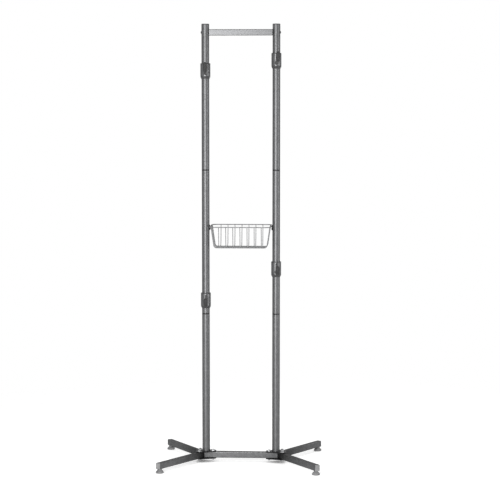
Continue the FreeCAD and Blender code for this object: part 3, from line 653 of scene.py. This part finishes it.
hexLook = dict(
    flats=0.013, shank=0.004, tip=0.0008, washer=0.0095, washerRim=0.0004, washerPlay=0.0002,
    nutPlay=0.0001, chamfer=0.0012, crown=0.475, legBolt=0.030, barBolt=0.034, around=72, steps=5,
    twist=17.0)
socketLook = dict(rim=0.66, around=48, steps=8)
buttonLook = dict(shank=0.004, head=0.007, height=0.004, socket=0.005, depth=0.0024, length=0.065)
screwLook = dict(shank=0.0025, head=0.0045, height=0.003, socket=0.003, depth=0.0018, length=0.010)


def hexRadius(around, flats):
    # from the axis to a hexagon's side: half the flats over the cosine of the angle from the side's middle
    return flats / 2 / np.cos(fullTurn(around) % (np.pi / 3) - np.pi / 6)


def hexRings(low, high, chamferLow):
    # a hexagon whose corners are turned off by a 30 degree cone at the top, and at the bottom too on a nut
    look = hexLook
    rise = np.linspace(0, look["chamfer"], look["steps"])
    heights = np.concatenate([low + rise if chamferLow else [low], high - rise[::-1]])[:, None]
    gap = np.minimum(high - heights, heights - low if chamferLow else np.inf)
    cone = look["crown"] * look["flats"] + gap * math.sqrt(3)
    return np.minimum(hexRadius(look["around"], look["flats"]), cone), heights


def hexBolt(tail, seat, top):
    # tapered tip, shank and chamfered head, ring over ring
    shank, tip = hexLook["shank"], hexLook["tip"]
    head, heights = hexRings(seat, top, False)
    stem = np.repeat([[shank - tip], [shank], [shank]], hexLook["around"], 1)
    return stackRings(np.vstack([stem, head]), np.vstack([[[tail], [tail + tip], [seat]], heights]))


def hexNut(low, high):
    # chamfered hexagon with a countersunk bore, closed on itself
    bore, sink = hexLook["shank"] + hexLook["nutPlay"], hexLook["tip"] / 2
    body, heights = hexRings(low, high, True)
    hole = np.repeat([[bore], [bore + sink]], hexLook["around"], 1)
    levels = np.vstack([[[low + sink], [low]], heights, [[high], [high - sink]]])
    return stackRings(np.vstack([hole, body, hole[::-1]]), levels, loop=True)


def socketScrew(look):
    # shank, domed head and hexagon socket: the dome is the ball through the head's rim and its crown
    head, height, shank = look["head"], look["height"], look["shank"]
    ball = (head ** 2 + height ** 2) / (2 * height)
    dome = np.linspace(head, socketLook["rim"] * look["socket"], socketLook["steps"])
    crown = height - ball + np.sqrt(ball ** 2 - dome ** 2)
    tip = shank / 6
    rows = np.concatenate([[shank - tip, shank, shank], dome])
    levels = np.concatenate([[-look["length"], tip - look["length"], 0], crown])
    levels = np.append(levels, [crown[-1] - tip / 2, height - look["depth"]])
    around = socketLook["around"]
    socket = np.repeat(hexRadius(around, look["socket"])[None], 2, 0)
    stem = np.repeat(rows[:, None], around, 1)
    return stackRings(np.vstack([stem, socket]), levels[:, None])


boltSpots = []
for sign in signs:
    boltSpots.append(np.array((sign * (halfSpan - hexLook["barBolt"]), 0, 0)))
    for depth in depths.values():
        start, along = legLine(sign, depth)
        boltSpots.append(start + hexLook["legBolt"] * along)
boltLow, boltHigh = corners("hub_bolts")
washerLow, washerHigh = corners("hub_washers")
nutLow, nutHigh = corners("hub_nuts")
turns = [hexLook["twist"] * i for i in range(len(boltSpots))]
bolt = hexBolt(boltLow[2], washerHigh[2], boltHigh[2])
disc = roundTube(hexLook["shank"] + hexLook["washerPlay"], hexLook["washer"], washerLow[2], washerHigh[2],
                 hexLook["washerRim"])
nut = hexNut(nutLow[2], nutHigh[2])
bolts = [placed(bolt, spot, turn) for spot, turn in zip(boltSpots, turns)]
nuts = [placed(nut, spot, -turn) for spot, turn in zip(boltSpots, turns)]
addPiece("hubHexBolts", "hub_bolts", bolts, brightZinc)
addPiece("hubFlatWashers", "hub_washers", [placed(disc, spot) for spot in boltSpots], washerZincPaintedHighlight)
addPiece("hubHexNuts", "hub_nuts", nuts, brightZinc)
button, screw = socketScrew(buttonLook), socketScrew(screwLook)
buttons = [placed(button, (sign * (halfSpan + postRadius), 0, topMiddle), axis=(sign, 0, 0))
           for sign in signs]
addPiece("topBarButtonBolts", "top_crossbar_bolts", buttons, blackZinc)
screwLevel = middle("post_base_screws")[2]
screws = [placed(screw, (sign * halfSpan, postRadius, screwLevel), axis=(0, 1, 0)) for sign in signs]
addPiece("postBaseButtonScrews", "post_base_screws", screws, blackZinc)
print("fasteners:", len(boltSpots), "hex bolts,", len(buttons + screws), "button screws on the posts")


# Clamp-on arms, made straight ahead round the post's axis, then turned a little and set at their heights

armLook = dict(turn=4.0, around=80)
bushLook = dict(bore=0.0193, body=0.0215, flange=0.003, skirt=0.012, lip=0.0012, slit=0.002, rim=0.0006)
collarLook = dict(
    bore=0.0218, radius=0.0246, low=-0.0257, high=0.0347, rim=0.0008, gusset=0.005, gussetReach=0.074,
    gussetLift=0.003, toe=0.012, drop=0.004, gussetBevel=0.0009, gussetCorners=(0.001, 0.002, 0.003, 0.001),
    steps=6, sink=0.0012, boss=0.009, bossEnd=0.0366, bossChamfer=0.001, bossRound=0.0003, bossAround=48,
    stemHole=0.0041)
rodLook = dict(
    radius=0.007, rootHeight=-0.013, rise=3.0, knee=0.240, bend=0.028, tipAngle=72.0, lift=0.032,
    root=0.0226, steps=16, around=32)
gripLook = dict(
    radius=0.010, bore=0.0071, start=0.084, lip=0.0012, lipRings=(0.3, 1.0, 3.0, 6.0),
    tipFall=(20.0, 40.0, 60.0, 75.0, 86.0), apart=0.0001, around=32)
beadLook = dict(
    radius=0.0016, ripple=0.14, pitch=0.0022, end=0.4, stop=0.002, steps=60, loopSteps=96, around=10)
knobLook = dict(
    seat=0.0369, radius=0.021, length=0.018, standoff=0.005, lobes=5, scallop=0.008, bite=0.005, soften=3,
    edge=0.002, steps=6, under=0.006, over=0.004, hub=0.008, hubChamfer=0.0005, stem=0.004,
    stemLength=0.0151, stemChamfer=0.0006, around=160,
    dish=((0.0115, 0), (0.0109, 0.0003), (0.0103, 0.0012)),
    button=((0.0052, 0.0012), (0.0045, 0.0004), (0.0035, 0), (0.001, 0)))


def splitBush(half):
    # the bush's wall section carried round the post, from one side of the slit to the other
    look, rim = bushLook, collarLook["radius"]
    body, seat = half - look["flange"], look["skirt"] - half
    bore, waist = look["bore"], look["body"]
    wall = [(bore, -half), (bore + look["lip"], -half), (rim, seat - look["flange"]), (rim, seat),
            (waist, seat), (waist, body), (rim, body), (rim, half), (bore, half)]
    profile, edge = roundCorners(wall, [look["rim"] / 2] * 2 + [look["rim"]] * 7, rimSteps)
    gap = look["slit"] / 2 / bore
    angle = np.linspace(gap, 2 * np.pi - gap, armLook["around"])[:, None]
    radius, height = profile[:, 0], profile[:, 1] + 0 * angle
    return ringSkin(np.stack([radius * np.cos(angle), radius * np.sin(angle), height], -1), edge[None])


def rodPath(start):
    # root, knee and tip in the plane through the post, with one tangent bend
    rise, tip = math.radians(rodLook["rise"]), math.radians(rodLook["tipAngle"])
    heading = np.array((0, -math.cos(rise), math.sin(rise)))
    root = rodLook["rootHeight"] * upright
    knee = root + rodLook["knee"] * heading
    end = knee + rodLook["lift"] * np.array((0, -math.cos(tip), math.sin(tip)))
    return roundCorners([root + start * heading, knee, end], rodLook["bend"], rodLook["steps"], False)[0]


def softGrip():
    # a circle carried along the rod, with a radius at each station: bore, rolled lip, skin and domed tip
    look, path = gripLook, rodPath(gripLook["start"])
    heading = unit(path[1] - path[0])
    fall = np.radians(look["tipFall"])[:, None]
    lip = path[0] + heading * look["lip"] * np.array(look["lipRings"])[:, None]
    tip = path[-1] + look["radius"] * np.sin(fall) * unit(path[-1] - path[-2])
    line = np.vstack([path[:1], path[:1] + heading * look["apart"], lip, path[1:], tip])
    skin = np.full(len(lip) + len(path) - 1, look["radius"])
    mouth = (look["bore"], look["radius"] - look["lip"] / 2)
    scale = np.concatenate([mouth, skin, look["radius"] * np.cos(fall[:, 0])])
    return sweepSection(line, circle(1.0, look["around"]), (1, 0, 0), scale=scale)


def weldBead(path, across, loop):
    # a small round bead whose radius swells once per pitch along the path
    look = beadLook
    steps = np.linalg.norm(np.diff(path, axis=0), axis=1)
    along = np.concatenate([[0], np.cumsum(steps)])
    scale = 1 + look["ripple"] * np.cos(2 * np.pi * along / look["pitch"])
    if not loop:
        scale[[0, -1]] = look["end"]
    return sweepSection(path, circle(look["radius"], look["around"]), across, 0.0, loop, scale)


def saddleBead(radius, height, forward):
    # where a round bar meets the collar: y = root(collar radius squared - x squared) round the bar's circle
    angle = fullTurn(beadLook["loopSteps"])
    x, z = radius * np.cos(angle), height + radius * np.sin(angle)
    y = forward * np.sqrt(collarLook["radius"] ** 2 - x ** 2)
    return weldBead(np.stack([x, y, z], 1), np.stack([np.cos(angle), 0 * x, np.sin(angle)], 1), True)


def gussetBeads():
    # up both sides of the gusset, along the collar, from the rod to the gusset's upper end
    look = collarLook
    x = look["gusset"] / 2
    y = -math.sqrt(look["radius"] ** 2 - x ** 2)
    top = look["high"] - look["drop"] - beadLook["stop"]
    z = np.linspace(rodLook["rootHeight"] + rodLook["radius"], top, beadLook["steps"])
    lines = [np.stack([0 * z + sign * x, 0 * z + y, z], 1) for sign in signs]
    return [weldBead(line, (1, 0, 0), False) for line in lines]


def weldedCollar():
    # tube round the bush, gusset over the rod, threaded boss behind, and the weld beads between them;
    # the boss starts on the tube: height = root(tube radius squared - (r cos a) squared)
    look, rootHeight = collarLook, rodLook["rootHeight"]
    tube = roundTube(*(look[key] for key in ("bore", "radius", "low", "high", "rim")), armLook["around"])
    slope = math.tan(math.radians(rodLook["rise"]))
    toe = rootHeight + look["gussetReach"] * slope
    root = look["radius"] - look["sink"]
    web = [(root, rootHeight + look["gussetLift"]), (look["gussetReach"], toe + look["gussetLift"]),
           (look["gussetReach"], toe + look["toe"]), (root, look["high"] - look["drop"])]
    outline = roundCorners(web, look["gussetCorners"], look["steps"])[0]
    gusset = liftOutline(outline, *bevelled(-look["gusset"] / 2, look["gusset"] / 2, look["gussetBevel"]))
    width, hole, end = look["boss"], look["stemHole"], look["bossEnd"]
    chamfer, small = look["bossChamfer"], look["bossRound"]
    line = np.array([(width, 0), (width, end - chamfer), (width - small, end - small),
                     (width - chamfer, end), (hole, end), (hole, 0)])
    radii = np.repeat(line[:, :1], look["bossAround"], 1)
    foot = np.sqrt(root ** 2 - (radii * np.cos(fullTurn(look["bossAround"]))) ** 2)
    boss = stackRings(radii, np.where(line[:, 1:] > 0, line[:, 1:], foot), loop=True)
    rodBead = saddleBead(rodLook["radius"], rootHeight + look["radius"] * slope, -1)
    beads = [rodBead, saddleBead(width, 0.0, 1)] + gussetBeads()
    return [tube, placed(gusset, axis=(-1, 0, 0)), placed(boss, axis=(0, 1, 0))] + beads


def starKnob():
    # r(a) is the disc's radius, or the near side of the scallop's circle where that is less, softened over
    # its neighbours; stem, hub, rim, dish and button are rows of rings
    look = knobLook
    lobe = 2 * np.pi / look["lobes"]
    off = (fullTurn(look["around"]) + lobe / 2) % lobe - lobe / 2
    reach = look["radius"] + look["scallop"] - look["bite"]
    under = look["scallop"] ** 2 - (reach * np.sin(off)) ** 2
    near = reach * np.cos(off) - np.sqrt(np.maximum(under, 0))
    star = np.where(under > 0, np.minimum(near, look["radius"]), look["radius"])
    shifts = range(-look["soften"], look["soften"] + 1)
    star = sum(np.roll(star, shift) for shift in shifts) / len(shifts)
    low, high = look["standoff"], look["standoff"] + look["length"]
    rimLine = [(look["under"], low), (0, low), (0, high), (look["over"], high)]
    rim, rimEdge = roundCorners(rimLine, look["edge"], look["steps"], False)
    stem, tail, tip = look["stem"], -look["stemLength"], look["stemChamfer"]
    hub, hubTip = look["hub"], look["hubChamfer"]
    foot = np.array([(stem - tip, tail), (stem, tail + tip), (stem, 0), (hub - hubTip, 0), (hub, hubTip),
                     (hub, low)])
    lid = np.array([(radius, high - drop) for radius, drop in look["dish"] + look["button"]])
    disc = np.ones(len(off))
    radii = np.vstack([foot[:, :1] * disc, star - rim[:, :1], lid[:, :1] * disc])
    heights = np.vstack([foot[:, 1:], rim[:, 1:], lid[:, 1:]]) + look["seat"]
    edge = np.concatenate([np.zeros(len(foot)), rimEdge, np.zeros(len(lid))])
    return placed(stackRings(radii, heights, edge[:, None]), axis=(0, 1, 0))


# the rod is cut square inside the collar's wall
bentRod = sweepSection(rodPath(rodLook["root"]), circle(rodLook["radius"], rodLook["around"]), (1, 0, 0))
armParts = [("WeldedCollar", "_arm_collar", weldedCollar(), powderCoat),
            ("BentRod", "_arm_rod", [bentRod], powderCoat),
            ("SoftGrip", "_arm_grip", [softGrip()], gripRubber),
            ("StarKnob", "_lock_knob", [starKnob()], knobPlastic)]
for level in ("upper", "lower"):
    for side, sign in sides.items():
        arm, label = level + "_" + side, level + side.title()
        low, high = corners(arm + "_slide_bush")
        spot = (sign * halfSpan, 0, (low[2] + high[2]) / 2)
        bush = ("SplitBush", "_slide_bush", [splitBush((high[2] - low[2]) / 2)], bushNylon)
        for part, node, shells, coat in [bush] + armParts:
            turned = [placed(shell, spot, armLook["turn"]) for shell in shells]
            addPiece(label + part, arm + node, turned, coat)
        print("arm:", label, "at", round(float(spot[2]), 3))


# Basket: a rim wire with welded wires across and along, hung on two bent hooks

basketLook = dict(
    rim=0.0025, rimCorner=0.022, rimSteps=12, rimAround=20, wire=0.0018, bend=0.014, bendSteps=10,
    lean=0.020, depth=0.105, crossCount=7, crossPitch=0.035, longCount=4, longPitch=0.036, touch=0.00005)
# an edge value of 1 on each weld spot puts the basket's painted shade there, in patches
spotLook = dict(share=(1.5, 1.5, 0.9), pole=0.15, rings=7, around=12, edge=1.0)
hookLook = dict(
    sheet=0.0025, width=0.016, lip=0.008, rise=0.008, tail=0.015, bend=0.0028, bendSteps=8, corner=0.0006,
    plateCorner=0.003, sink=0.0005, sideGap=0.0005, seatGap=0.0003, postGap=0.0001, screwDrop=0.0085)
rimLow, rimHigh = corners("basket_rim")
rimHalf = (rimHigh - rimLow) / 2 - basketLook["rim"]
rimLevel = middle("basket_rim")[2]


def spread(count, pitch):
    # even places about the middle
    return (np.arange(count) - (count - 1) / 2) * pitch


def basketWire(along, reach, place, floor):
    # down from the rim, across the floor and up again, in the plane of the along axis
    look = basketLook
    top, foot = reach - look["rim"] - look["wire"] - look["touch"], reach - look["lean"]
    line = [(-top, rimLevel), (-foot, floor), (foot, floor), (top, rimLevel)]
    flat = roundCorners(line, look["bend"], look["bendSteps"], False)[0]
    path = np.full((len(flat), 3), place)
    path[:, along], path[:, 2] = flat[:, 0], flat[:, 1]
    return wire(path, look["wire"], np.eye(3)[1 - along])


def weldSpot(centre):
    # a flattened ball: radius sin f, height cos f, scaled along each axis by a share of the wire
    fall = np.linspace(spotLook["pole"], np.pi - spotLook["pole"], spotLook["rings"])[:, None]
    ball = stackRings(np.repeat(np.sin(fall), spotLook["around"], 1), np.cos(fall), spotLook["edge"])
    radii = basketLook["wire"] * np.array(spotLook["share"])
    return {**ball, "points": ball["points"] * radii + np.array(centre)}


crossPlaces = spread(basketLook["crossCount"], basketLook["crossPitch"])
longPlaces = spread(basketLook["longCount"], basketLook["longPitch"])
floorLow = rimLevel - basketLook["depth"]
floorHigh = floorLow + 2 * basketLook["wire"] + basketLook["touch"]
joinReach = rimHalf - basketLook["rim"]
rimRoute = roundCorners(rectangle(*(2 * rimHalf[:2])), basketLook["rimCorner"], basketLook["rimSteps"])[0]
rimPath = np.concatenate([rimRoute, np.full((len(rimRoute), 1), rimLevel)], 1)
rimWire = wire(rimPath, basketLook["rim"], upright, basketLook["rimAround"], True)
spots = [(x, sign * joinReach[1], rimLevel) for x in crossPlaces for sign in signs]
spots += [(x, y, (floorLow + floorHigh) / 2) for x in crossPlaces for y in longPlaces]
endSpots = [(sign * joinReach[0], y, rimLevel) for y in longPlaces for sign in signs]
crossSet = [basketWire(1, rimHalf[1], x, floorHigh) for x in crossPlaces]
longSet = [basketWire(0, rimHalf[0], y, floorLow) for y in longPlaces]
addPiece("basketRimWire", "basket_rim", [rimWire], basketCoat)
addPiece("basketCrossWireSet", "basket_cross_wires", crossSet + list(map(weldSpot, spots)), basketCoat)
addPiece("basketLongWireSet", "basket_long_wires", longSet + list(map(weldSpot, endSpots)), basketCoat)
hookSeat = rimLevel - basketLook["rim"] - hookLook["seatGap"]
hookBack = halfSpan - postRadius - hookLook["postGap"]


def bentHook(sign):
    # a plate up the post, and a strip carried along the sheet's middle, under the rim and up in front
    look, seat = hookLook, hookSeat
    low, high = seat - look["sheet"] - look["tail"], seat + look["rise"]
    outline = roundCorners(rectangle(look["width"], high - low), look["plateCorner"])[0]
    plate = liftOutline(outline, *bevelled(0, look["sheet"], look["corner"]))
    shelf, face = seat - look["sheet"] / 2, hookBack - look["sheet"] + look["sink"]
    lip = rimHalf[0] - basketLook["rim"] - look["sideGap"] - look["sheet"] / 2
    line = [(sign * face, 0, shelf), (sign * lip, 0, shelf), (sign * lip, 0, seat + look["lip"])]
    path = roundCorners(line, look["bend"], look["bendSteps"], False)[0]
    section, edge = roundCorners(rectangle(look["width"], look["sheet"]), look["corner"], rimSteps)
    strip = sweepSection(path, section, (0, 1, 0), edge[None])
    return [placed(plate, (sign * hookBack, 0, (low + high) / 2), axis=(-sign, 0, 0)), strip]


addPiece("basketBentHooks", "basket_hooks", bentHook(-1) + bentHook(1), blackCoat)
screwPlace = (hookBack - hookLook["sheet"], hookSeat - hookLook["sheet"] - hookLook["screwDrop"])
hookScrews = [placed(screw, (sign * screwPlace[0], 0, screwPlace[1]), axis=(-sign, 0, 0)) for sign in signs]
addPiece("basketHookButtonScrews", "basket_hook_screws", hookScrews, blackZinc)
for node in ("top_crossbar_plugs", "leg_thread_inserts"):
    frame["nodes"][node].data.materials.clear()
    frame["nodes"][node].data.materials.append(brightZinc["material"])
print("basket:", len(crossPlaces), "cross wires,", len(longPlaces), "long wires")


# Studio: white floor that keeps the shadow, white surround, a soft key in front, a fill and a back light

floorLook = dict(
    radius=5.0, inner=0.05, rings=12, around=64, drop=0.0002, fade=(0.9, 2.6), grey=0.88, own=0.56,
    contact=0.08, closed=(0.1, 0.6), samples=8)
ambient = 0.36  # what the white surround gives as light
lightLook = dict(
    key=dict(power=134.0, place=(-0.75, -3.5, 1.36), aim=(0.0, 0.0, 1.36), size=(1.1, 2.7)),
    fill=dict(power=30.0, place=(3.0, -1.2, 1.3), aim=(0.0, 0.0, 1.2), size=(0.45, 2.4)),
    back=dict(power=26.0, place=(1.6, 2.9, 1.4), aim=(0.0, 0.0, 1.3), size=(0.7, 2.4)))
cameraLook = dict(
    place=(0.49535, -8.47809, 1.84226), yaw=0.0530697, down=0.0911041, lens=123.68, sensor=36.0)


def whiteSeen(tree):
    # 1 for a ray from the camera, a mirror or glass, 0 for light that bounces
    rays = put(tree, "LightPath").outputs
    seen = maths(tree, "MAXIMUM", rays["Is Camera Ray"], rays["Is Glossy Ray"])
    return maths(tree, "MAXIMUM", seen, rays["Is Transmission Ray"])


def floorMaterial():
    # lit grey with some white of its own added for seen rays, fading outwards into the surround; ambient
    # occlusion dims that own white, a painted shade under the hubs and the base
    material = bpy.data.materials.new("paleFloor")
    material.use_nodes = True
    tree = material.node_tree
    tree.nodes.remove(tree.nodes["Principled BSDF"])
    lit = put(tree, "BsdfDiffuse", {"Color": (*grey(floorLook["grey"]), 1)})
    clear = put(tree, "BsdfTransparent")
    seen = whiteSeen(tree)
    reach, samples = floorLook["contact"], floorLook["samples"]
    near = put(tree, "AmbientOcclusion", {"Distance": reach}, samples=samples).outputs["AO"]
    free = spanned(tree, near, *floorLook["closed"])
    share = maths(tree, "MULTIPLY", maths(tree, "MULTIPLY", seen, floorLook["own"]), free)
    own = put(tree, "Emission", {"Color": (1, 1, 1, 1), "Strength": share})
    blend = put(tree, "AddShader", {0: lit.outputs[0], 1: own.outputs[0]})
    place = put(tree, "TexCoord").outputs["Object"]
    distance = put(tree, "VectorMath", {0: place}, operation="LENGTH").outputs["Value"]
    gone = maths(tree, "MULTIPLY", spanned(tree, distance, *floorLook["fade"]), seen)
    shown = put(tree, "MixShader", {0: gone, 1: blend.outputs[0], 2: clear.outputs[0]})
    tree.links.new(shown.outputs[0], tree.nodes["Material Output"].inputs["Surface"])
    return material


def studioFloor():
    # a flat disc: rings of growing radius, with the innermost one closed
    ring = np.linspace(floorLook["inner"], 1, floorLook["rings"])[:, None] * floorLook["radius"]
    disc = stackRings(np.repeat(ring, floorLook["around"], 1), 0 * ring)
    mesh = bpy.data.meshes.new("studioFloor")
    faces = disc["quads"].tolist() + disc["ends"][:1].tolist()
    mesh.from_pydata((disc["points"] - floorLook["drop"] * upright).tolist(), [], faces)
    mesh.materials.append(floorMaterial())
    linked("studioFloor", mesh)


def studioWorld():
    # white where it is seen or mirrored, a modest level where it only lights
    world = bpy.data.worlds.new("whiteSurround")
    world.use_nodes = True
    tree = world.node_tree
    level = maths(tree, "MULTIPLY_ADD", whiteSeen(tree), 1 - ambient, ambient)
    tree.nodes["Background"].inputs["Color"].default_value = (1, 1, 1, 1)
    tree.links.new(level, tree.nodes["Background"].inputs["Strength"])
    bpy.context.scene.world = world


def softLight(name, look):
    # a rectangle of light, aimed from its place at a point
    data = bpy.data.lights.new(name + "Light", "AREA")
    data.energy = look["power"]
    data.shape = "RECTANGLE"
    data.size, data.size_y = look["size"]
    lamp = linked(name + "Light", data)
    x, y, z = np.array(look["aim"]) - np.array(look["place"])
    lamp.location = look["place"]
    lamp.rotation_euler = (math.pi / 2 + math.atan2(z, math.hypot(x, y)), 0, math.atan2(y, x) - math.pi / 2)


def photoCamera():
    # level and facing +Y, then tipped down and turned by yaw about upright
    data = bpy.data.cameras.new("photoCamera")
    data.lens, data.sensor_width = cameraLook["lens"], cameraLook["sensor"]
    camera = linked("photoCamera", data)
    camera.location = cameraLook["place"]
    camera.rotation_euler = (math.pi / 2 - cameraLook["down"], 0, cameraLook["yaw"])
    bpy.context.scene.camera = camera


studioFloor()
studioWorld()
for name, look in lightLook.items():
    softLight(name, look)
photoCamera()
bpy.context.scene.view_settings.view_transform = "Standard"
print("studio:", len(lightLook), "soft lights")
